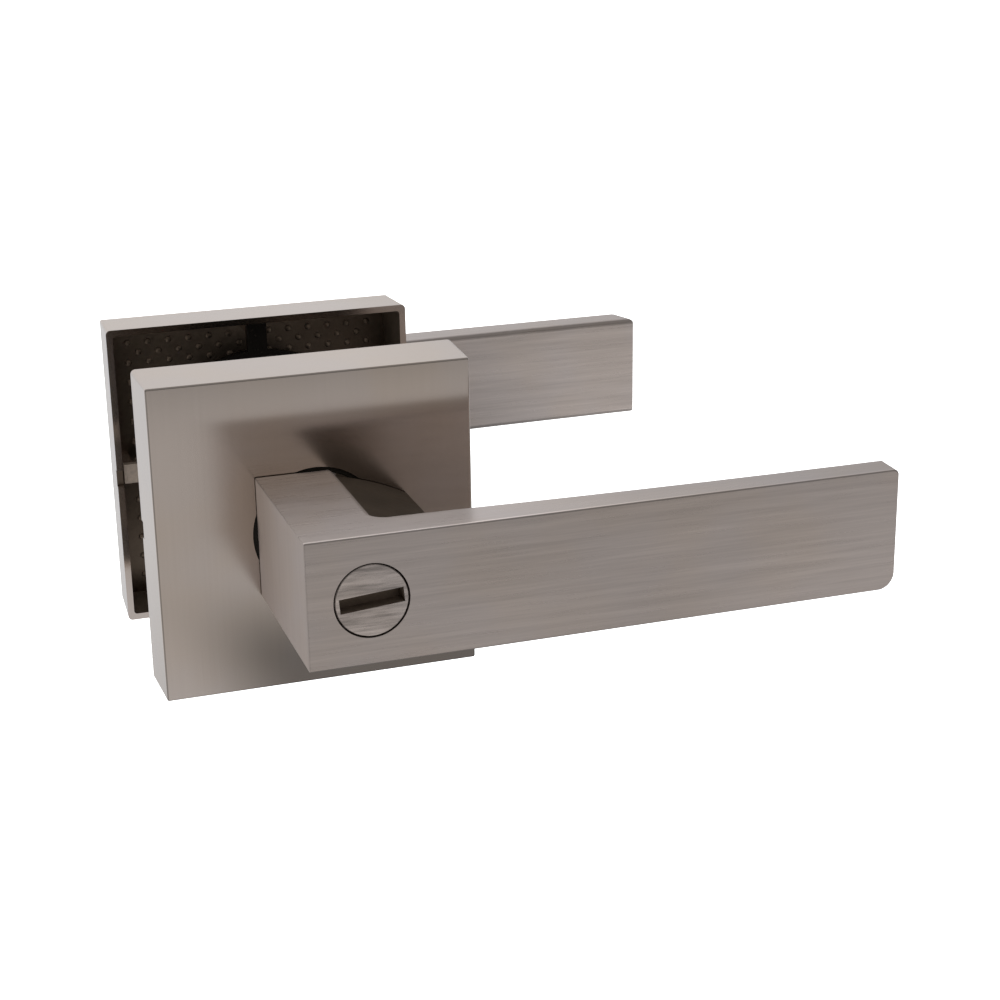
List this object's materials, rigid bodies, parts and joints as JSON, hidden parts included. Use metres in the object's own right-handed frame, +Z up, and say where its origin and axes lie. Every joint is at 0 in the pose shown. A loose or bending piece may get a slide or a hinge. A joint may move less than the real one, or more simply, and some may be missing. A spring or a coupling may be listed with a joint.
{
  "type": "door lever handle set",
  "caption": "Privacy door lever set: square rosettes and straight square-edged levers on both sides of a door, with a coin-slot release outside and a thumb turn inside.",
  "frame": {"origin": "on the spindle's axis, half way through the 35 mm door that the set clamps", "axes": "+X along the levers towards their tips, +Y from the outside half to the inside half along the spindle, +Z up"},
  "size_m": [0.1433, 0.154, 0.0674],
  "materials": {
    "satin_nickel": "satin, fine brushing along the lever and across the rosette",
    "zinc_plate": "bright zinc plated steel, slightly blotchy",
    "drive_steel": "turned steel",
    "spring_steel": "oiled spring steel",
    "black_oxide": "black oxide",
    "black_nylon": "moulded nylon",
    "white_nylon": "moulded nylon"
  },
  "bodies": {
    "trim": {"outer_rosette": "satin_nickel", "inner_rosette": "satin_nickel", "outer_rosette_liner": "black_nylon", "inner_rosette_liner": "black_nylon", "outer_mounting_plate": "black_oxide", "inner_mounting_plate": "black_oxide", "outer_hub_bush": "white_nylon", "inner_hub_bush": "white_nylon", "outer_return_spring": "spring_steel", "inner_return_spring": "spring_steel", "outer_spring_cover": "zinc_plate", "inner_spring_cover": "zinc_plate", "outer_cover_screws": "zinc_plate", "inner_cover_screws": "zinc_plate", "bolt_posts": "zinc_plate", "through_bolts": "zinc_plate", "bolt_washers": "zinc_plate"},
    "outer_lever_set": {"outer_lever": "satin_nickel", "outer_hub": "drive_steel", "outer_set_screw": "black_oxide", "outer_thrust_washer": "zinc_plate", "outer_retaining_ring": "spring_steel", "spindle": "zinc_plate", "release_washer": "spring_steel"},
    "inner_lever_set": {"inner_lever": "satin_nickel", "inner_hub": "drive_steel", "inner_set_screw": "black_oxide", "inner_thrust_washer": "zinc_plate", "inner_retaining_ring": "spring_steel", "thumb_turn_washer": "spring_steel"},
    "release_set": {"release_disc": "satin_nickel", "locking_bar": "zinc_plate", "release_clip": "spring_steel"},
    "thumb_turn_set": {"thumb_turn": "satin_nickel", "thumb_turn_clip": "spring_steel"}
  },
  "joints": [
    {"name": "outer_lever_turn", "type": "hinge", "parent": "trim", "child": "outer_lever_set", "pos_m": [0, -0.02, 0], "axis": [0, 1, 0], "range_deg": [-45, 45], "stiffness_Nm_per_rad": 0.6, "deforming": ["outer_return_spring"]},
    {"name": "inner_lever_turn", "type": "hinge", "parent": "trim", "child": "inner_lever_set", "pos_m": [0, 0.02, 0], "axis": [0, 1, 0], "range_deg": [-45, 45], "stiffness_Nm_per_rad": 0.6, "deforming": ["inner_return_spring"]},
    {"name": "release_turn", "type": "hinge", "parent": "outer_lever_set", "child": "release_set", "pos_m": [0, -0.07, 0], "axis": [0, 1, 0], "range_deg": [0, 90]},
    {"name": "thumb_turn_turn", "type": "hinge", "parent": "inner_lever_set", "child": "thumb_turn_set", "pos_m": [0, 0.07, 0], "axis": [0, 1, 0], "range_deg": [0, 90]}
  ],
  "couplings": [
    {"joint": "inner_lever_turn", "follows": "outer_lever_turn", "ratio": 1},
    {"joint": "thumb_turn_turn", "follows": "release_turn", "ratio": 1}
  ]
}
